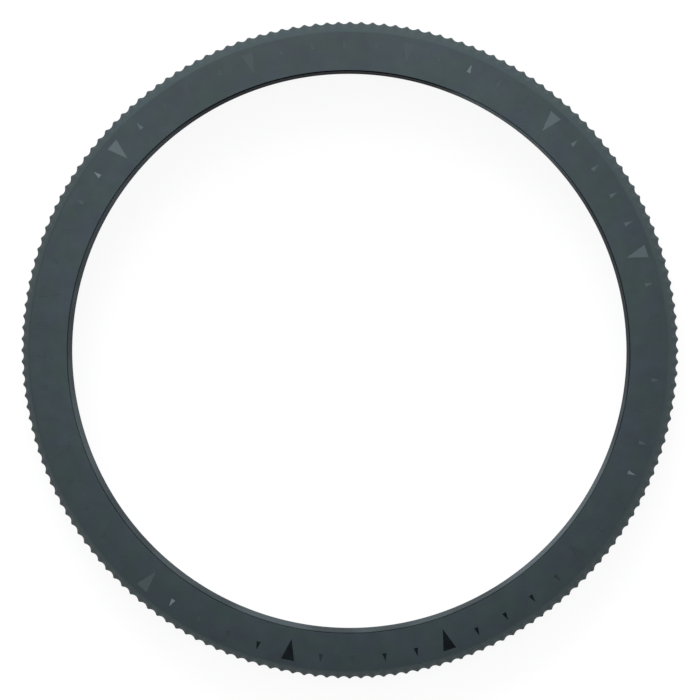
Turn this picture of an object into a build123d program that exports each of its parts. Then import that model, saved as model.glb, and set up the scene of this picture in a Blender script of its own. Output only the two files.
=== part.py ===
from build123d import *
import math
import os

# Rotating watch bezel as a self-contained module. Millimetres, +Z towards the wearer's eye.
# The origin is the centre of the seat that rests on the watch case.

# Fixed carrier ring, radial sizes from the bore outwards.
bore_radius = 17.70
lip_wall = 0.23
neck_wall = 0.85
flange_overhang = 1.15
# Fixed carrier ring, heights from the seat upwards.
flange_height = 1.55
neck_rise = 0.80
lip_drop = 0.10
bevel_height = 0.95
lip_land = 0.05
bore_land = 0.60
bore_flare = 0.25

# Running clearances between the turning and the fixed pieces.
skirt_play = 0.07
lip_gap = 0.05
ratchet_bore_play = 0.12
tooth_play = 0.07
glide_play = 0.02

# Grip ring.
skirt_wall = 1.23
skirt_lift = 0.35
crest_band_height = 1.15
rim_width = 0.62
rim_land = 0.05
rim_step = 0.02
web_thickness = 0.23
scallop_count = 180
scallop_depth = 0.14
scallop_runout_width = 0.41
scallop_facets = 3
scallop_lean_drop = 0.05
blank_spare = 0.02

# Graduation insert and its bonding tape.
tape_thickness = 0.05
insert_inner_thickness = 1.05
insert_outer_thickness = 0.55
insert_fit = 0.02

# Marks let into the insert, measured along the radius.
hour_count = 12
stops_per_mark = 5
first_hour_angle = 78.8
hour_margin = 0.31
hour_length = 1.37
hour_width = 0.84
dart_margin = 0.45
dart_length = 0.53
dart_width = 0.27
mark_depth = 0.12
mark_proud = 0.005
mark_fit = 0.006

# Ratchet ring.
tooth_count = 60
tooth_depth = 0.18
tooth_tip_land = 0.08
ratchet_fit = 0.02
key_count = 4
key_length = 0.80
key_width = 0.40
key_height = 0.20
key_fit = 0.02

# Retaining wire, square in section.
wire_thickness = 0.32
wire_height = 0.60
wire_bite = 0.125
wire_side_play = 0.03
wire_inner_play = 0.025
wire_spring_room = 0.03
wire_groove_fit = 0.01
wire_gap_angle = 9.0

# Glide ring.
glide_thickness = 0.10
glide_edge = 0.05

# Detent balls and their springs.
ball_count = 3
first_ball_tooth = 3
ball_radius = 0.30
ball_track_inset = 0.70
ball_play = 0.02
ball_wall_gap = 0.015
ball_ramp_gap = 0.012
pocket_floor = 0.30
ball_spring_wire = 0.09
ball_spring_side_gap = 0.04
ball_spring_turns = 3.5
spring_seat_gap = 0.01
steps_per_turn = 8

# Click pawls and their springs.
pawl_count = 3
first_pawl_tooth = 13
pawl_length = 0.86
pawl_width = 0.56
pawl_play = 0.02
pawl_tip_gap = 0.02
pawl_lift = 0.45
pawl_edge_break = 0.04
pawl_bore_wall = 0.05
pawl_bore_depth = 0.55
pawl_spring_wire = 0.07
pawl_spring_side_gap = 0.02
pawl_spring_turns = 4.5

# One overrun serves every cut.
overrun = 0.50

# Radii and heights that follow from the sizes above.
lip_outer = bore_radius + lip_wall
neck_outer = bore_radius + neck_wall
flange_outer = neck_outer + flange_overhang
skirt_inner = flange_outer + skirt_play
crest_radius = skirt_inner + skirt_wall
insert_inner = lip_outer + lip_gap
seat_radius = crest_radius - rim_width
insert_outer = seat_radius - insert_fit
ratchet_inner = neck_outer + ratchet_bore_play
ratchet_outer = skirt_inner - ratchet_fit
track_radius = flange_outer - ball_track_inset

shoulder_z = flange_height + neck_rise
web_low_z = shoulder_z + glide_thickness + glide_play
floor_z = web_low_z + web_thickness
insert_low_z = floor_z + tape_thickness
insert_top_z = insert_low_z + insert_inner_thickness
insert_rim_z = insert_low_z + insert_outer_thickness
lip_top_z = insert_top_z - lip_drop
tip_z = flange_height + tooth_play
root_z = tip_z + tooth_depth
crest_high_z = skirt_lift + crest_band_height
rim_z = insert_rim_z - rim_step
rim_outer = seat_radius + rim_land
cone_slope = math.atan2(insert_top_z - insert_rim_z, insert_outer - insert_inner)


def turned(points):
    """A ring turned about Z from an outline of (radius, height) points."""
    return revolve(Plane.XZ * make_face(Polyline(*points, close=True)), Axis.Z)


def around(shape, count, start=0.0):
    """Equal copies of a shape about Z, the first at the start angle."""
    return [Rot(0, 0, start + turn * 360.0 / count) * shape for turn in range(count)]


def coil(radius, wire, turns, low, high):
    """A plain-ended coil spring between two heights, wound in short straight steps."""
    rise = high - low - wire
    steps = round(turns * steps_per_turn)
    path = Polyline(*[
        (radius * math.cos(2 * math.pi * step / steps_per_turn),
         radius * math.sin(2 * math.pi * step / steps_per_turn),
         low + wire / 2 + rise * step / steps)
        for step in range(steps + 1)])
    section = Plane(origin=path @ 0, z_dir=path % 0, x_dir=(1, 0, 0)) * Rectangle(wire, wire)
    return sweep(section, path=path, transition=Transition.RIGHT)


# Saw-tooth space of the ratchet: a stop wall at the leading end, a ramp behind it.
# The profile is drawn along the tangent, so the bezel clicks round counter-clockwise only.
tooth_angle = 360.0 / tooth_count
inner_pitch = ratchet_inner * math.radians(tooth_angle)
ramp_length = inner_pitch - tooth_tip_land
ramp_angle = math.atan2(tooth_depth, ramp_length)
tooth_space = Polyline(
    (0, root_z), (0, tip_z - overrun), (-ramp_length, tip_z - overrun), (-ramp_length, tip_z), close=True)
# Looking inwards from outside, the tangent runs to the right and Z stays up.
tooth_plane = Plane(origin=(skirt_inner + overrun, 0, 0), x_dir=(0, 1, 0), z_dir=(1, 0, 0))
tooth_cutter = extrude(tooth_plane * make_face(tooth_space), -(skirt_inner - ratchet_inner + 2 * overrun))


# Carrier ring.
wire_inner = flange_outer - wire_bite
wire_low_z = wire_height - wire_thickness / 2
wire_high_z = wire_height + wire_thickness / 2
wire_groove_radius = wire_inner - wire_inner_play
bevel_low_z = lip_top_z - bevel_height

# The bore grips the case on a short land and flares below it, to lead in over the case neck.
carrier_ring = turned([
    (bore_radius + bore_flare, 0),
    (flange_outer, 0),
    (flange_outer, wire_low_z - wire_side_play),
    (wire_groove_radius, wire_low_z - wire_side_play),
    (wire_groove_radius, wire_high_z + wire_side_play),
    (flange_outer, wire_high_z + wire_side_play),
    (flange_outer, flange_height),
    (neck_outer, flange_height),
    (neck_outer, shoulder_z),
    (lip_outer, shoulder_z),
    (lip_outer, lip_top_z),
    (lip_outer - lip_land, lip_top_z),
    (bore_radius, bevel_low_z),
    (bore_radius, bevel_low_z - bore_land),
])

# Round pockets for the balls, placed so that each ball lies in a tooth space against its stop wall.
ball_stand_off = ball_radius + ball_wall_gap
ball_centre_z = (root_z - ball_stand_off * math.tan(ramp_angle)
                 - (ball_radius + ball_ramp_gap) / math.cos(ramp_angle))
ball_offset_angle = math.degrees(ball_stand_off / track_radius)
ball_start = first_ball_tooth * tooth_angle - ball_offset_angle
pawl_start = first_pawl_tooth * tooth_angle
ball_place = Pos(track_radius, 0, 0)
ball_pocket = ball_place * Pos(0, 0, pocket_floor) * Cylinder(
    ball_radius + ball_play, flange_height - pocket_floor + overrun,
    align=(Align.CENTER, Align.CENTER, Align.MIN))

# Straight-sided pockets for the pawls, behind their stop walls.
pawl_centre = -(pawl_tip_gap + pawl_length / 2)
pawl_place = Pos(track_radius, pawl_centre, 0)
pawl_pocket = pawl_place * Pos(0, 0, pocket_floor) * Box(
    pawl_width + 2 * pawl_play, pawl_length + 2 * pawl_play, flange_height - pocket_floor + overrun,
    align=(Align.CENTER, Align.CENTER, Align.MIN))

carrier_ring -= around(ball_pocket, ball_count, ball_start) + around(pawl_pocket, pawl_count, pawl_start)

# Glide ring.
glide_ring = turned([
    (insert_inner, shoulder_z),
    (neck_outer - glide_edge, shoulder_z),
    (neck_outer - glide_edge, shoulder_z + glide_thickness),
    (insert_inner, shoulder_z + glide_thickness),
])

# Detent ball and its spring.
detent_ball = ball_place * Pos(0, 0, ball_centre_z) * Sphere(ball_radius)
ball_coil_radius = ball_radius + ball_play - ball_spring_side_gap - ball_spring_wire / 2
ball_to_wire = ball_radius + ball_spring_wire / 2 + spring_seat_gap
ball_seat_drop = math.sqrt(ball_to_wire ** 2 - ball_coil_radius ** 2)
ball_spring_top = ball_centre_z - ball_seat_drop + ball_spring_wire / 2
ball_spring = ball_place * coil(
    ball_coil_radius, ball_spring_wire, ball_spring_turns, pocket_floor + spring_seat_gap, ball_spring_top)

# Click pawl: a block with a saw-tooth tip and a blind bore for its spring.
pawl_low_z = pocket_floor + pawl_lift
pawl_bore_radius = pawl_width / 2 - pawl_bore_wall
pawl_tip_z = root_z - (pawl_tip_gap * math.tan(ramp_angle) + pawl_tip_gap / math.cos(ramp_angle))
pawl_tail_z = pawl_tip_z - pawl_length * math.tan(ramp_angle)
pawl_outline = Polyline(
    (-pawl_tip_gap, pawl_low_z), (-pawl_tip_gap, pawl_tip_z),
    (-pawl_tip_gap - pawl_length, pawl_tail_z), (-pawl_tip_gap - pawl_length, pawl_low_z), close=True)
pawl_plane = Plane(origin=(track_radius - pawl_width / 2, 0, 0), x_dir=(0, 1, 0), z_dir=(1, 0, 0))
click_pawl = extrude(pawl_plane * make_face(pawl_outline), pawl_width)
click_pawl -= pawl_place * Pos(0, 0, pawl_low_z - overrun) * Cylinder(
    pawl_bore_radius, pawl_bore_depth + overrun, align=(Align.CENTER, Align.CENTER, Align.MIN))
click_pawl = chamfer(click_pawl.edges().group_by(Axis.Z)[0].filter_by(GeomType.LINE), pawl_edge_break)
pawl_spring = pawl_place * coil(
    pawl_bore_radius - pawl_spring_side_gap - pawl_spring_wire / 2, pawl_spring_wire, pawl_spring_turns,
    pocket_floor + spring_seat_gap, pawl_low_z + pawl_bore_depth - spring_seat_gap)

# Ratchet ring, keyed through the web of the grip ring.
ratchet_ring = turned([
    (ratchet_inner, tip_z), (ratchet_outer, tip_z),
    (ratchet_outer, web_low_z), (ratchet_inner, web_low_z),
])
key_place = Pos((ratchet_inner + ratchet_outer) / 2, 0, web_low_z)
key = key_place * Box(
    key_width, key_length, key_height, align=(Align.CENTER, Align.CENTER, Align.MIN))
key_slot = key_place * Box(
    key_width + 2 * key_fit, key_length + 2 * key_fit, 2 * (web_thickness + overrun))
ratchet_ring += around(key, key_count)
ratchet_ring -= around(tooth_cutter, tooth_count)

# Grip ring: a turned blank, scalloped all round.
# The blank stands a little outside the crests, so that the scallops meet in sharp edges.
wire_room_radius = flange_outer + wire_thickness + wire_spring_room
blank_radius = crest_radius + blank_spare
flank_fall = (rim_z - crest_high_z) / (crest_radius - rim_outer)
grip_blank = turned([
    (skirt_inner, skirt_lift),
    (skirt_inner, wire_low_z - wire_groove_fit),
    (wire_room_radius, wire_low_z - wire_groove_fit),
    (wire_room_radius, wire_high_z + wire_groove_fit),
    (skirt_inner, wire_high_z + wire_groove_fit),
    (skirt_inner, web_low_z),
    (insert_inner, web_low_z),
    (insert_inner, floor_z),
    (seat_radius, floor_z),
    (seat_radius, rim_z),
    (rim_outer, rim_z),
    (blank_radius, crest_high_z - blank_spare * flank_fall),
    (blank_radius, skirt_lift),
])

# One scallop is the hollow that a round cutter leaves between two crests, in a few flat facets.
half_step = math.pi / scallop_count
half_chord = crest_radius * math.sin(half_step)
scallop_sag = scallop_depth - crest_radius * (1 - math.cos(half_step))
cutter_radius = (half_chord ** 2 + scallop_sag ** 2) / (2 * scallop_sag)
cutter_distance = crest_radius - scallop_depth + cutter_radius
cutter_reach = math.asin(half_chord / cutter_radius)


def scallop_outline(height, lean_in=0):
    """Closed outline of the scallops at one height, drawn in evenly by the lean."""
    share = 1 - lean_in / (crest_radius - scallop_depth)
    corners = []
    for scallop in range(scallop_count):
        for facet in range(scallop_facets):
            bearing = cutter_reach * (2 * facet / scallop_facets - 1)
            outward = cutter_distance - cutter_radius * math.cos(bearing)
            aside = cutter_radius * math.sin(bearing)
            radius = math.hypot(outward, aside) * share
            angle = (2 * scallop + 1) * half_step + math.atan2(aside, outward)
            corners.append((radius * math.cos(angle), radius * math.sin(angle), height))
    return make_face(Polyline(*corners, close=True))


# From the top of the crest band the valleys lean in more slowly than the flank and run out below the rim.
lean_low_z = crest_high_z - scallop_lean_drop
lean = (scallop_runout_width - scallop_depth) / (scallop_runout_width * flank_fall + scallop_lean_drop)
grip_ring = grip_blank & loft([
    scallop_outline(skirt_lift - overrun),
    scallop_outline(lean_low_z),
    scallop_outline(insert_top_z, lean * (insert_top_z - lean_low_z)),
], ruled=True)
grip_ring -= around(key_slot, key_count)

# Retaining wire: an open snap ring.
wire_section = Plane.XZ * Pos(wire_inner + wire_thickness / 2, wire_height) * Rectangle(
    wire_thickness, wire_thickness)
retaining_wire = Rot(0, 0, wire_gap_angle / 2) * revolve(wire_section, Axis.Z, 360.0 - wire_gap_angle)

# Bonding tape and graduation insert.
insert_tape = turned([
    (insert_inner, floor_z), (insert_outer, floor_z),
    (insert_outer, insert_low_z), (insert_inner, insert_low_z),
])
graduation_insert = turned([
    (insert_inner, insert_low_z),
    (insert_outer, insert_low_z),
    (insert_outer, insert_rim_z),
    (insert_inner, insert_top_z),
])


def mark(start_radius, end_radius, start_width, end_width, spare):
    """A triangular inlay lying in the cone: flat top, one end a point."""
    middle = (start_radius + end_radius) / 2
    middle_z = insert_rim_z + (insert_outer - middle) * math.tan(cone_slope)
    plane = Plane(
        origin=(middle, 0, middle_z),
        x_dir=(math.cos(cone_slope), 0, -math.sin(cone_slope)),
        z_dir=(math.sin(cone_slope), 0, math.cos(cone_slope)))
    reach = (end_radius - start_radius) / 2 / math.cos(cone_slope)
    corners = [
        (x, side * width / 2)
        for x, width in ((-reach, start_width), (reach, end_width))
        for side in ((-1, 1) if width else (1,))]
    outline = make_face(Polyline(*corners, close=True))
    if spare:
        outline = offset(outline, spare, kind=Kind.INTERSECTION)
        return extrude(plane * Pos(0, 0, -mark_depth) * outline, mark_depth + overrun)
    return extrude(plane * Pos(0, 0, -mark_depth) * outline, mark_depth + mark_proud)


hour_out = insert_outer - hour_margin
dart_out = insert_outer - dart_margin
hour_sizes = (hour_out - hour_length, hour_out, 0, hour_width)
dart_sizes = (dart_out - dart_length, dart_out, dart_width, 0)
minute_stops = hour_count * stops_per_mark


def marks(hour_shape, dart_shape):
    """The hour places, and the places between them."""
    places = around(Rot(0, 0, 0), minute_stops, first_hour_angle)
    hours = [place * hour_shape for place in places[::stops_per_mark]]
    darts = [place * dart_shape for index, place in enumerate(places) if index % stops_per_mark]
    return hours, darts


hours, darts = marks(mark(*hour_sizes, 0), mark(*dart_sizes, 0))
hour_pockets, dart_pockets = marks(mark(*hour_sizes, mark_fit), mark(*dart_sizes, mark_fit))
graduation_insert -= hour_pockets + dart_pockets

# One file for each piece.
pieces = {
    "carrier_ring": carrier_ring,
    "glide_ring": glide_ring,
    "grip_ring": grip_ring,
    "graduation_insert": graduation_insert,
    "insert_tape": insert_tape,
    "hour_triangles": Compound(hours),
    "minute_darts": Compound(darts),
    "ratchet_ring": ratchet_ring,
    "retaining_wire": retaining_wire,
}
for number, (ball, spring) in enumerate(zip(
        around(detent_ball, ball_count, ball_start), around(ball_spring, ball_count, ball_start)), 1):
    pieces[f"detent_ball_{number}"] = ball
    pieces[f"ball_spring_{number}"] = spring
for number, (pawl, spring) in enumerate(zip(
        around(click_pawl, pawl_count, pawl_start), around(pawl_spring, pawl_count, pawl_start)), 1):
    pieces[f"click_pawl_{number}"] = pawl
    pieces[f"pawl_spring_{number}"] = spring

os.makedirs("parts", exist_ok=True)
for name, piece in pieces.items():
    export_step(piece, f"parts/{name}.step")
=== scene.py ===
import bpy
import bmesh
import math
from mathutils import Matrix, Vector


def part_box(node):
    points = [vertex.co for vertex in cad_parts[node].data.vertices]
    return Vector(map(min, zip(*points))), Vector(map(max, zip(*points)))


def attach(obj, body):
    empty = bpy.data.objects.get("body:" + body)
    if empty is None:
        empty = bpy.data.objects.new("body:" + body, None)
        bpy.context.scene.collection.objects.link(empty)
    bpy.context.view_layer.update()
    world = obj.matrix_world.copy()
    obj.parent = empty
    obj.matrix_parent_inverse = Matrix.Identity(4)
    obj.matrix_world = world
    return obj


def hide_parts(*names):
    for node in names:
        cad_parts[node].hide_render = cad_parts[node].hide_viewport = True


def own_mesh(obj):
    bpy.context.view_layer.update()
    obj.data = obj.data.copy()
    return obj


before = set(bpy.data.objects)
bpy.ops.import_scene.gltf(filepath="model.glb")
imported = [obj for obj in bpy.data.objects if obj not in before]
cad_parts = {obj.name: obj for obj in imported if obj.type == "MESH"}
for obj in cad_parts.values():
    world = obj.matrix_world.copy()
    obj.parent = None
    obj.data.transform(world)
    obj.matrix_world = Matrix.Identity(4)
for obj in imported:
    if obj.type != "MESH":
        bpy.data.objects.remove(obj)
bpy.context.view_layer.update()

MM = 0.001
SCENE = bpy.context.scene

# Sizes of the real bezel in millimetres, the same as the solids have. Only the slits round the insert and its
# marks are drawn narrower, as the photo shows hardly more than a line there, and the rim's land is sloped.
BORE, BORE_LOW, BORE_FLARE = 17.70, 2.15, 0.25
BEVEL_LOW = 2.75
LIP_OUTER, LIP_LAND, LIP_TOP = 17.94, 0.05, 3.70
NECK, SHOULDER = 18.55, 2.35
FLANGE, FLANGE_TOP = 19.70, 1.55
WIRE_GROOVE, WIRE_GROOVE_LOW, WIRE_GROOVE_HIGH = 19.55, 0.41, 0.79
SKIRT_IN, SKIRT_LOW = 19.77, 0.35
WIRE_ROOM, WIRE_ROOM_LOW, WIRE_ROOM_HIGH = 20.05, 0.43, 0.77
WEB_LOW, WEB_TOP = 2.47, 2.70
CREST, CREST_HIGH = 21.0, 1.50
RIM_IN, RIM_OUT, RIM_TOP = 20.365, 20.43, 3.28
# The rim's land starts this much under the insert's edge.
LAND_STEP = 0.001
SCALLOPS = 180
SCALLOP_DEPTH = 0.14
SCALLOP_RUNOUT = 0.41
LEAN_LOW = 1.45
INSERT_IN, INSERT_OUT = 17.965, 20.364
INSERT_LOW, INSERT_TOP, INSERT_RIM = 2.75, 3.80, 3.30

# Marks, measured along the radius from their inner to their outer end.
HOURS, STOPS, FIRST_MARK = 12, 60, 78.8
HOUR_MARK = {"Inner": 18.68, "Outer": 20.05, "Inner Width": 0.0, "Outer Width": 0.84}
DART_MARK = {"Inner": 19.38, "Outer": 19.91, "Inner Width": 0.27, "Outer Width": 0.0}
MARK_DEPTH, MARK_PROUD, MARK_FIT = 0.12, 0.005, 0.003
MARK_CUT_HIGH = 0.2
# The inlays lie a little askew, by up to this many degrees.
HOUR_TILT, DART_TILT = 0.45, 0.3
HOUR_SEED, DART_SEED = 3, 11

# Hidden works: pockets in the flange, key slots in the web, springs, balls. Cutters reach past what they cut.
POCKET_FLOOR, POCKET_CUT_HIGH = 0.30, FLANGE_TOP + 0.4
KEY_CUT_LOW, KEY_CUT_HIGH = WEB_LOW - 0.5, WEB_TOP + 0.3
# Balls and pawls come in threes, each with its spring.
NUMBERS = (1, 2, 3)
BALL, BALL_PLAY = 0.30, 0.02
BALL_SUBDIVISIONS = 4
PAWL_POCKET_WIDTH, PAWL_POCKET_LENGTH, PAWL_TURN = 0.60, 0.90, 78.0
KEY_TRACK, KEY_SLOT_WIDTH, KEY_SLOT_LENGTH, KEYS = 19.21, 0.44, 0.84, 4
SPRINGS = {
    "ball": {"Coil Radius": 0.235, "Wire": 0.09, "Turns": 3.5},
    "pawl": {"Coil Radius": 0.175, "Wire": 0.07, "Turns": 4.5}}


def linear(hex_value):
    """sRGB hex to a linear colour."""
    parts = [int(hex_value[i:i + 2], 16) / 255 for i in (1, 3, 5)]
    return tuple(p / 12.92 if p <= 0.04045 else ((p + 0.055) / 1.055) ** 2.4 for p in parts) + (1.0,)


def add(tree, kind, inputs=None, **settings):
    """Adds a node with its settings; an input is given a value or is linked from another socket."""
    new = tree.nodes.new(kind)
    for name, value in settings.items():
        setattr(new, name, value)
    for key, value in (inputs or {}).items():
        if isinstance(value, bpy.types.NodeSocket):
            tree.links.new(value, new.inputs[key])
        else:
            new.inputs[key].default_value = value
    return new


def show(name, mesh):
    """Puts a mesh in the scene as an object at the origin."""
    made = bpy.data.objects.new(name, mesh)
    SCENE.collection.objects.link(made)
    return made


# Finishes.

def finish(name, build, **constants):
    """A material whose surface the build function makes; constants go on the shader's own sockets."""
    made = bpy.data.materials.new(name)
    made.use_nodes = True
    tree = made.node_tree
    tree.nodes.clear()
    shader = add(tree, "ShaderNodeBsdfPrincipled")
    add(tree, "ShaderNodeOutputMaterial", {"Surface": shader.outputs["BSDF"]})
    place = add(tree, "ShaderNodeTexCoord").outputs["Object"]
    for socket, value in build(tree, place).items():
        tree.links.new(value, shader.inputs[socket])
    for socket, value in constants.items():
        shader.inputs[socket.replace("_", " ")].default_value = value
    return made


def noise(tree, place, size, detail=2.0):
    """Noise whose grains are about the given size in millimetres."""
    return add(tree, "ShaderNodeTexNoise", {
        "Vector": place, "Scale": 1 / (size * MM), "Detail": detail}).outputs["Fac"]


def spread(tree, value, low, high, start=0.3, end=0.7):
    """Stretches a value to run from low to high."""
    return add(tree, "ShaderNodeMapRange", {
        "Value": value, "From Min": start, "From Max": end, "To Min": low, "To Max": high}).outputs[0]


def between(tree, share, first, second):
    """A colour between two sRGB hex colours."""
    return add(tree, "ShaderNodeMix", {
        0: share, 6: linear(first), 7: linear(second)}, data_type="RGBA").outputs[2]


def towards(azimuth, elevation):
    """A direction; azimuth runs clockwise from the top of the photograph."""
    a, e = math.radians(azimuth), math.radians(elevation)
    return Vector((math.sin(a) * math.cos(e), math.cos(a) * math.cos(e), math.sin(e)))


def patched(tree, way, level, patches):
    """Lays soft round patches over a level.

    A patch is its azimuth, elevation, core and edge in degrees, and the level that it has.
    """
    for azimuth, elevation, core, edge, target in patches:
        facing = add(tree, "ShaderNodeVectorMath", {
            0: way, 1: towards(azimuth, elevation)}, operation="DOT_PRODUCT")
        share = add(tree, "ShaderNodeMapRange", {
            "Value": facing.outputs["Value"], "From Min": math.cos(math.radians(edge)),
            "From Max": math.cos(math.radians(core))}, interpolation_type="SMOOTHSTEP").outputs[0]
        level = add(tree, "ShaderNodeMix", {0: share, 2: level, 3: target}, data_type="FLOAT").outputs[0]
    return level


def relief(tree, height, depth):
    """Bump of the given depth in millimetres."""
    return add(tree, "ShaderNodeBump", {
        "Height": height, "Distance": depth * MM, "Strength": 1.0}).outputs[0]


def round_axis(tree, place):
    """The distance from the axis, the height, and the level direction away from the axis."""
    flat = add(tree, "ShaderNodeVectorMath", {0: place, 1: (1, 1, 0)}, operation="MULTIPLY").outputs[0]
    radius = add(tree, "ShaderNodeVectorMath", {0: flat}, operation="LENGTH").outputs["Value"]
    height = add(tree, "ShaderNodeSeparateXYZ", {"Vector": place}).outputs["Z"]
    return radius, height, add(tree, "ShaderNodeVectorMath", {0: flat}, operation="NORMALIZE").outputs[0]


def turning(tree, radius, height, pitch):
    """Fine rings round the axis, as a turning tool leaves them."""
    return noise(tree, add(tree, "ShaderNodeCombineXYZ", {"X": radius, "Y": height}).outputs[0], pitch)


def dimmed(tree, colour, level):
    """A colour made lighter or darker by a level round 1."""
    return add(tree, "ShaderNodeHueSaturation", {"Color": colour, "Value": level}).outputs[0]


# Depth of the blasted grain and rise of the rounded face, in millimetres.
FACE_GRAIN, FACE_RISE = 0.003, 0.025
FACE_RIM_SHADE = 0.06
# Patches round the face, as patched() takes them: lighter and darker sides that are partly the zirconia's own
# drifting tone and partly painted light and shade.
FACE_TONE_AND_LIGHT = [(346, 0, 12, 30, 0.93), (280, 0, 12, 40, 1.05), (32, 0, 10, 30, 1.04)]


def blasted_face(tree, place):
    """Bead-blasted zirconia: a velvet grain spreads the light, and the grey drifts from cool to greenish."""
    # The real beads leave pits of about 0.02 mm; they are drawn at 0.07 mm to show at all.
    grain = noise(tree, place, 0.07)
    cloud = noise(tree, place, 1.7, 5.0)
    tone = between(tree, spread(tree, cloud, 0.0, 1.0), "#353F48", "#334241")
    # Handling leaves faint darker and lighter clouds, about a millimetre across.
    handled = spread(tree, noise(tree, place, 1.0, 5.0), 0.90, 1.10)
    # Blasting rounds the face very slightly, and the face is drawn a little darker towards its rim.
    radius, _, way = round_axis(tree, place)
    across = spread(tree, radius, -1.0, 1.0, INSERT_IN * MM, INSERT_OUT * MM)
    dome = add(tree, "ShaderNodeMath", {0: across, 1: across}, operation="MULTIPLY").outputs[0]
    height = add(tree, "ShaderNodeMath", {
        0: dome, 1: -FACE_RISE / FACE_GRAIN, 2: grain}, operation="MULTIPLY_ADD").outputs[0]
    # Partly painted light and shade: the face is drawn darker at the top and lighter to the left and upper
    # right.
    level = patched(tree, way, 1.0, FACE_TONE_AND_LIGHT)
    level = add(tree, "ShaderNodeMath", {
        0: across, 1: -FACE_RIM_SHADE, 2: level}, operation="MULTIPLY_ADD").outputs[0]
    level = add(tree, "ShaderNodeMath", {0: level, 1: handled}, operation="MULTIPLY").outputs[0]
    return {"Base Color": dimmed(tree, tone, level), "Roughness": spread(tree, grain, 0.50, 0.60),
            "Normal": relief(tree, height, FACE_GRAIN)}


def lapped_mark(tree, place):
    """The same zirconia lapped to a mirror: nearly black, with a trace of haze from the lapping paste."""
    haze = noise(tree, place, 0.35)
    return {"Base Color": between(tree, haze, "#0D1116", "#12171B"),
            "Roughness": spread(tree, haze, 0.06, 0.10)}


# Depth of the turning rings under the coating, in millimetres.
TURNING_DEPTH = 0.0015
# Wear on the grip: how wide the worn bands at the crests and the land are, and how worn they get.
CREST_WEAR_WIDTH, CREST_WEAR = 0.09, 0.8
LAND_WEAR_WIDTH, LAND_WEAR = 0.03, 0.3
# Painted shade that darkens the grip's left side, as patched() takes it.
GRIP_PAINTED_SHADE = [(278, 0, 10, 48, 0.78)]


def coated_grip(tree, place):
    """Steel with a matt dark vapour coating over turning rings: a greener grey, worn paler on its edges, with
    painted shade on its left side.
    """
    radius, height, way = round_axis(tree, place)
    lines = turning(tree, radius, height, 0.06)
    cloud = noise(tree, place, 1.6, 1.5)
    tone = between(tree, spread(tree, cloud, 0.0, 1.0), "#374449", "#3B4748")
    crest = spread(tree, radius, 0.0, CREST_WEAR, (CREST - CREST_WEAR_WIDTH) * MM, CREST * MM)
    land = spread(tree, height, 0.0, LAND_WEAR, (RIM_TOP - LAND_WEAR_WIDTH) * MM, RIM_TOP * MM)
    worn = add(tree, "ShaderNodeMath", {0: crest, 1: land}, operation="MAXIMUM").outputs[0]
    paler = add(tree, "ShaderNodeMix", {0: worn, 6: tone, 7: linear("#525E61")}, data_type="RGBA").outputs[2]
    # The flank is darkened on its left by painted shade.
    return {"Base Color": dimmed(tree, paler, patched(tree, way, 1.0, GRIP_PAINTED_SHADE)),
            "Roughness": spread(tree, lines, 0.58, 0.70),
            "Normal": relief(tree, lines, TURNING_DEPTH)}


# How light each stretch of the bevel is drawn, from 0, near black, to 1, palest, as patched() takes it. The
# near-black stretch at 352° is painted shade; the pale stretches are partly wear and partly painted light.
BEVEL_WEAR_AND_LIGHT = [
    (352, 0, 20, 36, 0.05), (35, 0, 8, 15, 1.0), (75, 0, 15, 24, 0.28), (128, 0, 12, 22, 0.95),
    (195, 0, 4, 9, 0.7), (253, 0, 5, 12, 0.85)]
BORE_WEAR = 0.5
# The change from bevel to bore is spread over this many millimetres to each side.
BEVEL_BLEND = 0.05


def coated_carrier(tree, place):
    """The same coating over a finely turned bevel and bore: a little smoother than on the grip."""
    radius, height, way = round_axis(tree, place)
    lines = turning(tree, radius, height, 0.05)
    # The bevel's near-black stretch is painted shade, and its pale stretches are partly worn by the crystal's
    # edge and partly painted light.
    bevel = patched(tree, way, spread(tree, noise(tree, place, 3.0, 1.0), 0.45, 0.65, 0.45, 0.65), BEVEL_WEAR_AND_LIGHT)
    share = spread(tree, height, 0.0, 1.0, (BEVEL_LOW - BEVEL_BLEND) * MM, (BEVEL_LOW + BEVEL_BLEND) * MM)
    wear_and_light_level = add(tree, "ShaderNodeMix", {0: share, 2: BORE_WEAR, 3: bevel}, data_type="FLOAT").outputs[0]
    # Near black where the bevel carries painted shade, pale where it is worn or carries painted light.
    return {"Base Color": between(tree, wear_and_light_level, "#060B14", "#566064"),
            "Roughness": spread(tree, lines, 0.52, 0.66), "Normal": relief(tree, lines, TURNING_DEPTH)}


# Depth of the cutter marks in the bronze, in millimetres.
CUTTER_MARK_DEPTH = 0.002


def milled_bronze(tree, place):
    """Tin bronze, milled: warm yellow metal with short cutter marks and a little tarnish."""
    cuts = noise(tree, place, 0.12, 3.0)
    tarnish = noise(tree, place, 1.5)
    return {"Base Color": between(tree, spread(tree, tarnish, 0.0, 1.0), "#B08A52", "#CFA867"),
            "Roughness": spread(tree, cuts, 0.25, 0.42),
            "Normal": relief(tree, cuts, CUTTER_MARK_DEPTH)}


def drawn_steel(tree, place):
    """Drawn spring wire and ground steel: bright grey metal with faint draw lines."""
    lines = noise(tree, place, 0.03)
    return {"Base Color": between(tree, lines, "#A6A8AA", "#C4C6C8"),
            "Roughness": spread(tree, lines, 0.22, 0.36)}


def tumbled_ball(tree, place):
    """Chrome steel ball, tumbled and polished: a near mirror with the faintest orange peel."""
    peel = noise(tree, place, 0.08, 1.0)
    return {"Base Color": between(tree, peel, "#C9CBCD", "#D6D8DA"),
            "Roughness": spread(tree, peel, 0.05, 0.10)}


def punched_acetal(tree, place):
    """Acetal sheet, punched: milky white and slightly waxy."""
    cloud = noise(tree, place, 1.2)
    return {"Base Color": between(tree, cloud, "#D9D6CC", "#E6E3DA"),
            "Roughness": spread(tree, cloud, 0.30, 0.42)}


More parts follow.
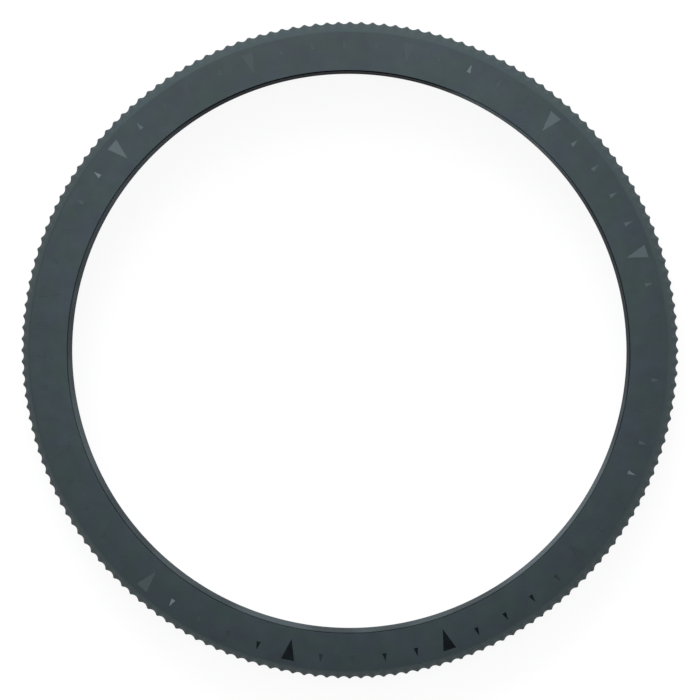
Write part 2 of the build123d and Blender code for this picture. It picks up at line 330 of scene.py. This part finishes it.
def acrylic_film(tree, place):
    """Double-sided acrylic tape: charcoal film with a soft mottle."""
    mottle = noise(tree, place, 0.5, 3.0)
    return {"Base Color": between(tree, mottle, "#222324", "#303133"),
            "Roughness": spread(tree, mottle, 0.45, 0.60)}


BLASTED = finish("zirconia_bead_blasted", blasted_face, IOR=1.70, Specular_IOR_Level=0.22)
LAPPED = finish("zirconia_lapped", lapped_mark, IOR=2.15, Specular_Tint=linear("#D9F0F6"))
GRIP_COAT = finish("steel_vapour_coated_matt", coated_grip, IOR=1.50, Specular_IOR_Level=0.08)
CARRIER_COAT = finish("steel_vapour_coated_turned", coated_carrier, IOR=1.50, Specular_IOR_Level=0.02)
BRONZE = finish("tin_bronze_milled", milled_bronze, Metallic=1.0)
STEEL = finish("spring_steel_drawn", drawn_steel, Metallic=1.0)
CHROME = finish("chrome_steel_tumbled", tumbled_ball, Metallic=1.0)
ACETAL = finish("acetal_punched", punched_acetal, IOR=1.48)
FILM = finish("acrylic_bonding_film", acrylic_film, IOR=1.47)

NODE_FINISH = {
    "carrier_ring": CARRIER_COAT, "grip_ring": GRIP_COAT, "graduation_insert": BLASTED,
    "hour_triangles": LAPPED, "minute_darts": LAPPED, "glide_ring": ACETAL, "insert_tape": FILM,
    "ratchet_ring": BRONZE, "retaining_wire": STEEL, "detent_ball": CHROME, "ball_spring": STEEL,
    "click_pawl": STEEL, "pawl_spring": STEEL}
for name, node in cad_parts.items():
    node.data.materials.clear()
    # Numbered nodes, such as the balls, share a finish under their plain name.
    node.data.materials.append(NODE_FINISH[name.rstrip("_123")])


# Trees that make what is turned, milled, inlaid or wound. Points closer than the seam, in metres, are merged.
SEAM = 1e-7
# A share of a pitch, so that rounding never puts a column on the far side of its crest.
HAIR = 0.0001
WIRE_SIDES = 10


def inputs_of(tree, sockets):
    """Gives a node tree its named inputs and its one output, and returns the inputs to link from."""
    kinds = {int: "NodeSocketInt", float: "NodeSocketFloat", bool: "NodeSocketBool"}
    for name, value in sockets.items():
        kind = value if isinstance(value, str) else kinds[type(value)]
        socket = tree.interface.new_socket(name, in_out="INPUT", socket_type=kind)
        if not isinstance(value, str):
            socket.default_value = value
    tree.interface.new_socket("Piece", in_out="OUTPUT", socket_type="NodeSocketGeometry")
    return tree.nodes.new("NodeGroupInput").outputs


def close_tree(tree, geometry, material):
    """Ends a tree: instances made real, the finish set, the result put out."""
    real = add(tree, "GeometryNodeRealizeInstances", {0: geometry}).outputs[0]
    dressed = add(tree, "GeometryNodeSetMaterial", {"Geometry": real, "Material": material}).outputs[0]
    add(tree, "NodeGroupOutput", {"Piece": dressed})
    return tree


def sums(tree):
    """A short way to write arithmetic in a tree."""
    def work(operation, a, b=0.0, c=0.0):
        return add(tree, "ShaderNodeMath", {0: a, 1: b, 2: c}, operation=operation).outputs[0]
    return work


def ring_tree():
    """Turns a section round Z, and mills scallops where the section reaches past their valleys."""
    tree = bpy.data.node_groups.new("turned_and_milled_ring", "GeometryNodeTree")
    given = inputs_of(tree, {
        "Section": "NodeSocketGeometry", "Corners": 8, "Steps Round": 720, "Scallops": SCALLOPS,
        "Valley": 1.0, "Depth": 0.0, "Lean Height": 1.0, "Lean": 0.0, "Finish": "NodeSocketMaterial"})
    work = sums(tree)
    columns = work("ADD", given["Steps Round"], 1.0)
    grid = add(tree, "GeometryNodeMeshGrid", {
        "Vertices X": work("ADD", given["Corners"], 1.0), "Vertices Y": columns}).outputs["Mesh"]
    index = add(tree, "GeometryNodeInputIndex").outputs[0]
    row = work("FLOOR", work("DIVIDE", work("ADD", index, 0.5), columns))
    column = work("SUBTRACT", index, work("MULTIPLY", row, columns))
    corner = work("FLOORED_MODULO", row, given["Corners"])
    sample = add(tree, "GeometryNodeSampleIndex", {
        "Geometry": given["Section"], "Index": corner}, data_type="FLOAT_VECTOR", domain="POINT")
    tree.links.new(add(tree, "GeometryNodeInputPosition").outputs[0], sample.inputs["Value"])
    section = add(tree, "ShaderNodeSeparateXYZ", {0: sample.outputs["Value"]}).outputs
    # Half a step aside, two columns lie astride each crest and leave it a narrow land, as the cutter does.
    turn = work("DIVIDE", work("ADD", column, 0.5), given["Steps Round"])
    # The swing is 0 in a valley and 1 on a crest; the first crest lies on +X.
    pitch = work("FRACT", work("MULTIPLY_ADD", turn, given["Scallops"], HAIR))
    swing = work("ABSOLUTE", work("MULTIPLY_ADD", pitch, 2.0, -1.0))
    above = work("MAXIMUM", work("SUBTRACT", section["Z"], given["Lean Height"]), 0.0)
    valley = work("SUBTRACT", given["Valley"], work("MULTIPLY", above, given["Lean"]))
    hollow = work("MULTIPLY_ADD", work("MULTIPLY", swing, swing), given["Depth"], valley)
    radius = work("MINIMUM", section["X"], hollow)
    angle = work("MULTIPLY", turn, math.tau)
    spot = add(tree, "ShaderNodeCombineXYZ", {
        "X": work("MULTIPLY", radius, work("COSINE", angle)),
        "Y": work("MULTIPLY", radius, work("SINE", angle)), "Z": section["Z"]}).outputs[0]
    laid = add(tree, "GeometryNodeSetPosition", {"Geometry": grid, "Position": spot}).outputs[0]
    closed = add(tree, "GeometryNodeMergeByDistance", {"Geometry": laid, "Distance": SEAM}).outputs[0]
    return close_tree(tree, closed, given["Finish"])


def inlay_tree():
    """Triangular inlays round Z that lie in a cone, each with its own slight tilt from being set by hand."""
    tree = bpy.data.node_groups.new("inlays_in_a_cone", "GeometryNodeTree")
    given = inputs_of(tree, {
        "Places": 12, "Skip Every": 0, "First Angle": 0.0, "Radius": 1.0, "Height": 0.0, "Slope": 0.0,
        "Length": 1.0, "Width": 1.0, "Point Inwards": False, "Shift": 0.0, "Top": 0.0, "Bottom": -1.0,
        "Tilt": 0.0, "Seed": 7, "Finish": "NodeSocketMaterial"})
    work = sums(tree)
    # A three-sided prism of radius 1 is 1.5 long and the root of 3 wide.
    prism = add(tree, "GeometryNodeMeshCylinder", {
        "Vertices": 3, "Radius": 1.0, "Depth": 1.0}).outputs["Mesh"]
    scale = add(tree, "ShaderNodeCombineXYZ", {
        "X": work("DIVIDE", given["Length"], 1.5), "Y": work("DIVIDE", given["Width"], math.sqrt(3)),
        "Z": work("SUBTRACT", given["Top"], given["Bottom"])}).outputs[0]
    middle = work("MULTIPLY", work("ADD", given["Top"], given["Bottom"]), 0.5)
    shift = add(tree, "ShaderNodeCombineXYZ", {"X": given["Shift"], "Z": middle}).outputs[0]
    sized = add(tree, "GeometryNodeTransform", {
        "Geometry": prism, "Scale": scale, "Translation": shift}).outputs[0]
    half_turn = add(tree, "ShaderNodeCombineXYZ", {
        "Z": work("MULTIPLY", given["Point Inwards"], math.pi)}).outputs[0]
    faced = add(tree, "GeometryNodeTransform", {"Geometry": sized, "Rotation": half_turn}).outputs[0]
    points = add(tree, "GeometryNodePoints", {"Count": given["Places"], "Radius": 0.0001}).outputs[0]
    index = add(tree, "GeometryNodeInputIndex").outputs[0]
    angle = work("MULTIPLY_ADD", work("DIVIDE", index, given["Places"]), math.tau, given["First Angle"])
    spot = add(tree, "ShaderNodeCombineXYZ", {
        "X": work("MULTIPLY", given["Radius"], work("COSINE", angle)),
        "Y": work("MULTIPLY", given["Radius"], work("SINE", angle)), "Z": given["Height"]}).outputs[0]
    placed = add(tree, "GeometryNodeSetPosition", {"Geometry": points, "Position": spot}).outputs[0]
    tilts = [add(tree, "FunctionNodeRandomValue", {
        "Min": work("MULTIPLY", given["Tilt"], -1.0), "Max": given["Tilt"], "ID": index,
        "Seed": work("ADD", given["Seed"], step)}, data_type="FLOAT").outputs["Value"] for step in (0.0, 1.0)]
    lie = add(tree, "ShaderNodeCombineXYZ", {
        "X": tilts[0], "Y": work("ADD", given["Slope"], tilts[1]), "Z": angle}).outputs[0]
    turned = add(tree, "FunctionNodeEulerToRotation", {0: lie}).outputs[0]
    step = work("FLOORED_MODULO", index, work("MAXIMUM", given["Skip Every"], 1.0))
    # A place is kept unless it is a skipped one; with 0 for Skip Every, all are kept.
    between_skips = add(tree, "FunctionNodeCompare", {
        0: step, 1: 0.5}, data_type="FLOAT", operation="GREATER_THAN").outputs[0]
    no_skips = add(tree, "FunctionNodeCompare", {
        0: work("ADD", given["Skip Every"], 0.0), 1: 0.5},
        data_type="FLOAT", operation="LESS_THAN").outputs[0]
    kept = add(tree, "FunctionNodeBooleanMath", {0: between_skips, 1: no_skips}, operation="OR").outputs[0]
    laid = add(tree, "GeometryNodeInstanceOnPoints", {
        "Points": placed, "Selection": kept, "Instance": faced, "Rotation": turned}).outputs[0]
    return close_tree(tree, laid, given["Finish"])


def spring_tree():
    """A coil spring of round wire that stands on its seat, its end turns drawn closer than the rest."""
    tree = bpy.data.node_groups.new("coil_spring", "GeometryNodeTree")
    given = inputs_of(tree, {
        "Coil Radius": 1.0, "Wire": 0.1, "Turns": 3.5, "Rise": 1.0, "Steps Per Turn": 24, "Seat X": 0.0,
        "Seat Y": 0.0, "Seat Z": 0.0, "Finish": "NodeSocketMaterial"})
    work = sums(tree)
    steps = work("MULTIPLY", given["Turns"], given["Steps Per Turn"])
    line = add(tree, "GeometryNodeMeshLine", {"Count": work("ADD", steps, 1.0)}).outputs["Mesh"]
    share = work("DIVIDE", add(tree, "GeometryNodeInputIndex").outputs[0], steps)
    # Half of the climb is even and half is eased at both ends.
    eased = work("MULTIPLY", work("MULTIPLY", share, share), work("MULTIPLY_ADD", share, -2.0, 3.0))
    climb = work("MULTIPLY", work("ADD", share, eased), 0.5)
    angle = work("MULTIPLY", work("MULTIPLY", share, given["Turns"]), math.tau)
    spot = add(tree, "ShaderNodeCombineXYZ", {
        "X": work("MULTIPLY_ADD", given["Coil Radius"], work("COSINE", angle), given["Seat X"]),
        "Y": work("MULTIPLY_ADD", given["Coil Radius"], work("SINE", angle), given["Seat Y"]),
        "Z": work("MULTIPLY_ADD", climb, given["Rise"], given["Seat Z"])}).outputs[0]
    wound = add(tree, "GeometryNodeSetPosition", {"Geometry": line, "Position": spot}).outputs[0]
    path = add(tree, "GeometryNodeMeshToCurve", {0: wound}).outputs[0]
    section = add(tree, "GeometryNodeCurvePrimitiveCircle", {
        "Resolution": WIRE_SIDES, "Radius": work("MULTIPLY", given["Wire"], 0.5)}).outputs[0]
    wire = add(tree, "GeometryNodeCurveToMesh", {
        "Curve": path, "Profile Curve": section, "Fill Caps": True}).outputs[0]
    return close_tree(tree, wire, given["Finish"])


# Edges that turn by more than this many degrees stay crisp; a coil's wire has only its ends crisp.
CRISP, WIRE_CRISP = 14, 50


def grown(base, tree, values, name, sharp=CRISP):
    """Runs a node tree on an object and keeps its result as a plain mesh with crisp edges."""
    modifier = base.modifiers.new("grow", "NODES")
    modifier.node_group = tree
    ids = {item.name: item.identifier for item in tree.interface.items_tree if item.in_out == "INPUT"}
    for key, value in values.items():
        modifier[ids[key]] = value
    base.update_tag()
    return settled(base, name, sharp)


def settled(base, name, sharp=CRISP):
    """Keeps what an object's modifiers make of it as a plain mesh, with outward faces and crisp edges."""
    bpy.context.view_layer.update()
    seen = base.evaluated_get(bpy.context.evaluated_depsgraph_get())
    mesh = bpy.data.meshes.new_from_object(seen)
    bpy.data.objects.remove(base)
    mesh.name = name
    work = bmesh.new()
    work.from_mesh(mesh)
    bmesh.ops.dissolve_degenerate(work, dist=SEAM / 10, edges=work.edges)
    bmesh.ops.recalc_face_normals(work, faces=work.faces)
    work.to_mesh(mesh)
    work.free()
    mesh.polygons.foreach_set("use_smooth", [True] * len(mesh.polygons))
    mesh.set_sharp_from_angle(angle=math.radians(sharp))
    return show(name, mesh)


RING_TREE, INLAY_TREE, SPRING_TREE = ring_tree(), inlay_tree(), spring_tree()
# Radius of a plain turned edge, and of the edges that are broken more or less than that.
EDGE = 0.015
SKIRT_EDGE, RIM_EDGE, LIP_EDGE, FACE_EDGE = 0.04, 0.02, 0.004, 0.006
# Sides of a round cutter.
CUTTER_SIDES = 48


def section_mesh(name, corners):
    """The section of a ring in (radius, height, edge radius) corners; an edge radius of 0 keeps the point."""
    rounded = []
    for index, (radius, height, *edge) in enumerate(corners):
        edge = edge[0] if edge else EDGE
        here = Vector((radius, height))
        if not edge:
            rounded.append(here)
            continue
        back = Vector(corners[index - 1][:2]) - here
        onward = Vector(corners[(index + 1) % len(corners)][:2]) - here
        cut = min(edge, back.length / 3, onward.length / 3)
        start, end = here + back.normalized() * cut, here + onward.normalized() * cut
        rounded += [start, (start + end) / 4 + here / 2, end]
    mesh = bpy.data.meshes.new(name)
    mesh.from_pydata([(p.x * MM, 0, p.y * MM) for p in rounded], [], [])
    return show(name, mesh)


def turned_ring(name, corners, coat, steps=720, **scallops):
    """A ring turned from its section, and scalloped if sizes for that are given."""
    base = section_mesh(name + "_section", corners)
    values = {"Corners": len(base.data.vertices), "Steps Round": steps, "Finish": coat}
    values.update({key.replace("_", " "): value for key, value in scallops.items()})
    return grown(base, RING_TREE, values, name)


def cut_away(piece, cutters):
    """Cuts pockets or slots out of a piece."""
    name = piece.name
    piece.name = name + "_uncut"
    knife = piece.modifiers.new("cut", "BOOLEAN")
    knife.operation, knife.solver, knife.object = "DIFFERENCE", "EXACT", cutters
    made = settled(piece, name)
    bpy.data.objects.remove(cutters)
    return made


def block_cutters(count, first_angle, radius, aside, low, high, width=None, length=None, bore=None):
    """Blocks or round bars that cut pockets round Z, from one height to another."""
    work = bmesh.new()
    for index in range(count):
        turn = Matrix.Rotation(math.radians(first_angle + index * 360 / count), 4, "Z")
        place = turn @ Matrix.Translation(Vector((radius, aside, (low + high) / 2)) * MM)
        if bore:
            bmesh.ops.create_cone(
                work, cap_ends=True, segments=CUTTER_SIDES, radius1=bore * MM, radius2=bore * MM,
                depth=(high - low) * MM, matrix=place)
        else:
            size = Matrix.Diagonal(Vector((width, length, high - low, 1 / MM)) * MM)
            bmesh.ops.create_cube(work, size=1.0, matrix=place @ size)
    mesh = bpy.data.meshes.new("cutters")
    work.to_mesh(mesh)
    work.free()
    return show("cutters", mesh)


def stands_for(piece, body, slot, *nodes):
    """Puts a piece on the body that carries it and hides the solids it stands for; the slot is not used."""
    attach(piece, body)
    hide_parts(*nodes)


# Grip ring: the flank gets extra stations, so that the scallops run out crisply. The rim's land is lapped
# together with the insert, so it falls outwards as the face does.
STEPS_PER_SCALLOP = 8
land_swing = 1 - 1 / STEPS_PER_SCALLOP
flank_fall = (RIM_TOP - CREST_HIGH) / (CREST - RIM_OUT)
lean = (SCALLOP_RUNOUT - SCALLOP_DEPTH) / (SCALLOP_RUNOUT * flank_fall + CREST_HIGH - LEAN_LOW)
STATIONS = 14
flank = [
    (CREST - (CREST - RIM_OUT) * step / STATIONS, CREST_HIGH + (RIM_TOP - CREST_HIGH) * step / STATIONS, 0)
    for step in range(1, STATIONS)]
grip = turned_ring("coin_edge_grip", [
    (SKIRT_IN, SKIRT_LOW), (CREST, SKIRT_LOW, SKIRT_EDGE), (CREST, LEAN_LOW, 0), (CREST, CREST_HIGH, 0),
    *flank, (RIM_OUT, RIM_TOP, RIM_EDGE), (RIM_IN, INSERT_RIM - LAND_STEP, 0), (RIM_IN, WEB_TOP),
    (INSERT_IN, WEB_TOP), (INSERT_IN, WEB_LOW), (SKIRT_IN, WEB_LOW), (SKIRT_IN, WIRE_ROOM_HIGH),
    (WIRE_ROOM, WIRE_ROOM_HIGH), (WIRE_ROOM, WIRE_ROOM_LOW), (SKIRT_IN, WIRE_ROOM_LOW)],
    GRIP_COAT, steps=SCALLOPS * STEPS_PER_SCALLOP, Scallops=SCALLOPS, Valley=(CREST - SCALLOP_DEPTH) * MM,
    Depth=SCALLOP_DEPTH / land_swing ** 2 * MM, Lean_Height=LEAN_LOW * MM, Lean=lean)
grip = cut_away(grip, block_cutters(
    KEYS, 0, KEY_TRACK, 0, KEY_CUT_LOW, KEY_CUT_HIGH, width=KEY_SLOT_WIDTH, length=KEY_SLOT_LENGTH))
stands_for(grip, "bezel", "satin_coated_steel", "grip_ring")

# Carrier ring, with its ball and pawl pockets.
carrier = turned_ring("turned_carrier", [
    (BORE + BORE_FLARE, 0), (FLANGE, 0), (FLANGE, WIRE_GROOVE_LOW), (WIRE_GROOVE, WIRE_GROOVE_LOW),
    (WIRE_GROOVE, WIRE_GROOVE_HIGH), (FLANGE, WIRE_GROOVE_HIGH), (FLANGE, FLANGE_TOP), (NECK, FLANGE_TOP),
    (NECK, SHOULDER), (LIP_OUTER, SHOULDER), (LIP_OUTER, LIP_TOP, LIP_EDGE), (LIP_OUTER - LIP_LAND, LIP_TOP),
    (BORE, BEVEL_LOW), (BORE, BORE_LOW)], CARRIER_COAT)
ball_boxes = [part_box(f"detent_ball_{number}") for number in NUMBERS]
ball_places = [(Vector(low) + Vector(high)) / 2 for low, high in ball_boxes]
ball_turn = math.degrees(math.atan2(ball_places[0].y, ball_places[0].x))
track = ball_places[0].to_2d().length / MM
carrier = cut_away(carrier, block_cutters(
    len(NUMBERS), ball_turn, track, 0, POCKET_FLOOR, POCKET_CUT_HIGH, bore=BALL + BALL_PLAY))
carrier = cut_away(carrier, block_cutters(
    len(NUMBERS), PAWL_TURN, track, -PAWL_POCKET_LENGTH / 2, POCKET_FLOOR, POCKET_CUT_HIGH,
    width=PAWL_POCKET_WIDTH, length=PAWL_POCKET_LENGTH))
stands_for(carrier, "carrier", "satin_coated_steel", "carrier_ring")

# Graduation insert and its inlays.
slope = math.atan2(INSERT_TOP - INSERT_RIM, INSERT_OUT - INSERT_IN)


def inlays(name, mark, places, skip, tilt, seed, top, spare=0.0):
    """A round of inlays, or of their pockets when a spare is given."""
    inner, outer = mark["Inner"], mark["Outer"]
    middle = (inner + outer) / 2
    length = (outer - inner) / math.cos(slope)
    width = max(mark["Inner Width"], mark["Outer Width"])
    # A spare all round lengthens a triangle by its own amount at the base, and by more at the point.
    half_point = math.atan2(width / 2, length)
    long = length + spare + spare / math.sin(half_point)
    points_in = mark["Inner Width"] < mark["Outer Width"]
    base = show(name + "_seed", bpy.data.meshes.new(name + "_seed"))
    # The prism's base lies half a radius behind its middle, so the shift puts the base at the mark's end.
    return grown(base, INLAY_TREE, {
        "Places": places, "Skip Every": skip, "First Angle": math.radians(FIRST_MARK), "Radius": middle * MM,
        "Height": (INSERT_RIM + (INSERT_OUT - middle) * math.tan(slope)) * MM, "Slope": slope,
        "Length": long * MM, "Width": 2 * long * math.tan(half_point) * MM, "Point Inwards": points_in,
        "Shift": (long / 3 - length / 2 - spare) * MM, "Top": top * MM, "Bottom": -(MARK_DEPTH + spare) * MM,
        "Tilt": math.radians(tilt), "Seed": seed, "Finish": LAPPED}, name)


insert = turned_ring("sloping_insert", [
    (INSERT_IN, INSERT_LOW), (INSERT_OUT, INSERT_LOW), (INSERT_OUT, INSERT_RIM, 0),
    (INSERT_IN, INSERT_TOP, FACE_EDGE)], BLASTED)
for kind, mark, places, skip, tilt, seed in (
        ("hour_inlays", HOUR_MARK, HOURS, 0, HOUR_TILT, HOUR_SEED),
        ("minute_inlays", DART_MARK, STOPS, STOPS // HOURS, DART_TILT, DART_SEED)):
    insert = cut_away(insert, inlays(
        kind + "_pockets", mark, places, skip, 0.0, seed, MARK_CUT_HIGH, MARK_FIT))
    marks = inlays(kind, mark, places, skip, tilt, seed, MARK_PROUD)
    stands_for(marks, "bezel", "polished_ceramic", "hour_triangles" if skip == 0 else "minute_darts")
stands_for(insert, "bezel", "matt_ceramic", "graduation_insert")

# Balls and springs.
for number, place in enumerate(ball_places, 1):
    work = bmesh.new()
    bmesh.ops.create_icosphere(
        work, subdivisions=BALL_SUBDIVISIONS, radius=BALL * MM, matrix=Matrix.Translation(place))
    mesh = bpy.data.meshes.new(f"tumbled_ball_{number}")
    work.to_mesh(mesh)
    work.free()
    mesh.materials.append(CHROME)
    mesh.polygons.foreach_set("use_smooth", [True] * len(mesh.polygons))
    stands_for(show(f"tumbled_ball_{number}", mesh), f"ball_{number}", "ball_steel", f"detent_ball_{number}")
for kind, sizes in SPRINGS.items():
    for number in NUMBERS:
        node = f"{kind}_spring_{number}"
        low, high = (Vector(corner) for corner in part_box(node))
        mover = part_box(f"detent_ball_{number}" if kind == "ball" else f"click_pawl_{number}")
        seat = (Vector(mover[0]) + Vector(mover[1])) / 2
        base = show(node + "_seed", bpy.data.meshes.new(node + "_seed"))
        spring = grown(base, SPRING_TREE, {
            "Coil Radius": sizes["Coil Radius"] * MM, "Wire": sizes["Wire"] * MM, "Turns": sizes["Turns"],
            "Rise": high.z - low.z - sizes["Wire"] * MM, "Seat X": seat.x, "Seat Y": seat.y,
            "Seat Z": low.z + sizes["Wire"] / 2 * MM, "Finish": STEEL}, f"wound_{node}", sharp=WIRE_CRISP)
        stands_for(spring, "carrier", "spring_steel", node)
        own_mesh(spring)

# Camera: the photograph's frame, distance and slight tilt towards the upper right.
PHOTO = 700
TILT, TOWARDS = math.radians(3.0), math.radians(38.0)
DISTANCE = 0.700
CREST_PIXELS = 328.6
RING_PIXELS = (349.50, 350.66)
SENSOR = 36.0
CLIP_NEAR, CLIP_FAR = 0.05, 10

back = Vector((math.sin(TILT) * math.sin(TOWARDS), math.sin(TILT) * math.cos(TOWARDS), math.cos(TILT)))
side = Vector((0, 1, 0)).cross(back).normalized()
up = back.cross(side)
pixel = CREST * MM / CREST_PIXELS
aim = (Vector((0, 0, CREST_HIGH * MM)) + side * (PHOTO / 2 - RING_PIXELS[0]) * pixel
       + up * (RING_PIXELS[1] - PHOTO / 2) * pixel)
spot = aim + back * DISTANCE
eye = bpy.data.objects.new("camera", bpy.data.cameras.new("camera"))
SCENE.collection.objects.link(eye)
eye.data.sensor_width = SENSOR
eye.data.lens = SENSOR * DISTANCE / (PHOTO * pixel)
eye.data.clip_start, eye.data.clip_end = CLIP_NEAR, CLIP_FAR
eye.matrix_world = Matrix((
    (side.x, up.x, back.x, spot.x), (side.y, up.y, back.y, spot.y),
    (side.z, up.z, back.z, spot.z), (0, 0, 0, 1)))
SCENE.camera = eye


# What the camera and reflections see of the card: mostly its own glow, and the rest as it is lit.
CARD_GLOW, CARD_LIT = 0.90, 0.15


def white_card():
    """Matt white card: white to the camera and in reflections, and darker where the bezel shades it."""
    made = bpy.data.materials.new("white_card")
    made.use_nodes = True
    tree = made.node_tree
    tree.nodes.clear()
    plain = add(tree, "ShaderNodeBsdfDiffuse", {"Color": linear("#E4E4E4")})
    shaded = add(tree, "ShaderNodeBsdfDiffuse", {"Color": (CARD_LIT, CARD_LIT, CARD_LIT, 1)})
    glow = add(tree, "ShaderNodeEmission", {"Color": (1, 1, 1, 1), "Strength": CARD_GLOW})
    white = add(tree, "ShaderNodeAddShader", {0: shaded.outputs[0], 1: glow.outputs[0]})
    ray = add(tree, "ShaderNodeLightPath").outputs
    seen = ray["Is Camera Ray"]
    for other in ("Is Glossy Ray", "Is Transmission Ray"):
        seen = add(tree, "ShaderNodeMath", {0: seen, 1: ray[other]}, operation="MAXIMUM").outputs[0]
    chosen = add(tree, "ShaderNodeMixShader", {0: seen, 1: plain.outputs[0], 2: white.outputs[0]})
    add(tree, "ShaderNodeOutputMaterial", {"Surface": chosen.outputs[0]})
    return made


# The card lies a hair below the bezel, so that the two never share a plane.
REACH, DROP = 6.0, 0.02 * MM
card_mesh = bpy.data.meshes.new("card")
card_mesh.from_pydata(
    [(x * REACH, y * REACH, -DROP) for x, y in ((-1, -1), (1, -1), (1, 1), (-1, 1))], [], [(0, 1, 2, 3)])
card_mesh.materials.append(white_card())
show("card", card_mesh)

# Studio: a pale wall all round, a darker ceiling, and soft patches on it that the polished marks pick up.
# The wall ends and the ceiling begins at these elevations.
WALL_TOP, CEILING_LOW = 20, 45
CEILING = 0.52
WINDOW, SIDE_SHARE = 352, 0.60
# Azimuth, elevation, core and edge in degrees, and brightness.
PATCHES = [
    (352, 67, 8, 13, 0.80), (61, 67, 7, 9.5, 1.0), (44, 68, 1.7, 3.2, 1.2), (304, 65, 2.5, 6, 1.22),
    (220, 62, 1.2, 2.6, 0.66), (157, 63.5, 4.4, 5.8, 0.03), (173.5, 63, 2.5, 4.0, 0.03),
    (195.5, 62, 2.6, 3.8, 0.03), (22, 68, 1.0, 2.0, 2.0), (214, 62, 0.8, 1.8, 2.0), (298, 65, 0.8, 1.8, 2.2),
    (292.4, 64.2, 0.8, 1.6, 0.85), (120, 65, 1.0, 1.9, 1.6), (114, 65, 1.0, 1.9, 0.75),
    (101, 66, 1.0, 1.9, 0.75)]
LAMP = {"elevation": 36, "distance": 0.9, "size": 0.45, "power": 4.0}
world = bpy.data.worlds.new("studio")
SCENE.world = world
world.use_nodes = True
air = world.node_tree
air.nodes.clear()
way = add(air, "ShaderNodeTexCoord").outputs["Generated"]
height = add(air, "ShaderNodeSeparateXYZ", {"Vector": way}).outputs["Z"]
glow = add(air, "ShaderNodeMapRange", {
    "Value": height, "From Min": math.sin(math.radians(WALL_TOP)),
    "From Max": math.sin(math.radians(CEILING_LOW)), "To Min": 1.0, "To Max": CEILING},
    interpolation_type="SMOOTHSTEP").outputs[0]
# The side with the window is lighter than the far side of the room.
side_light = add(air, "ShaderNodeVectorMath", {
    0: way, 1: towards(WINDOW, 0)}, operation="DOT_PRODUCT").outputs["Value"]
share = add(air, "ShaderNodeMath", {
    0: side_light, 1: SIDE_SHARE, 2: 1.0}, operation="MULTIPLY_ADD").outputs[0]
glow = add(air, "ShaderNodeMath", {0: glow, 1: share}, operation="MULTIPLY").outputs[0]
glow = patched(air, way, glow, PATCHES)
sky = add(air, "ShaderNodeBackground", {"Color": (0.97, 0.99, 1.0, 1), "Strength": glow})
add(air, "ShaderNodeOutputWorld", {"Surface": sky.outputs[0]})


def softbox(name, azimuth, elevation, distance, size, power):
    """A square soft light that faces the bezel."""
    lamp = bpy.data.lights.new(name, "AREA")
    lamp.shape, lamp.size, lamp.energy = "SQUARE", size, power
    made = bpy.data.objects.new(name, lamp)
    SCENE.collection.objects.link(made)
    way_out = towards(azimuth, elevation)
    made.location = way_out * distance
    made.rotation_euler = way_out.to_track_quat("Z", "Y").to_euler()
    made.visible_camera = False


softbox("window", WINDOW, **LAMP)

SCENE.view_settings.view_transform = "Standard"
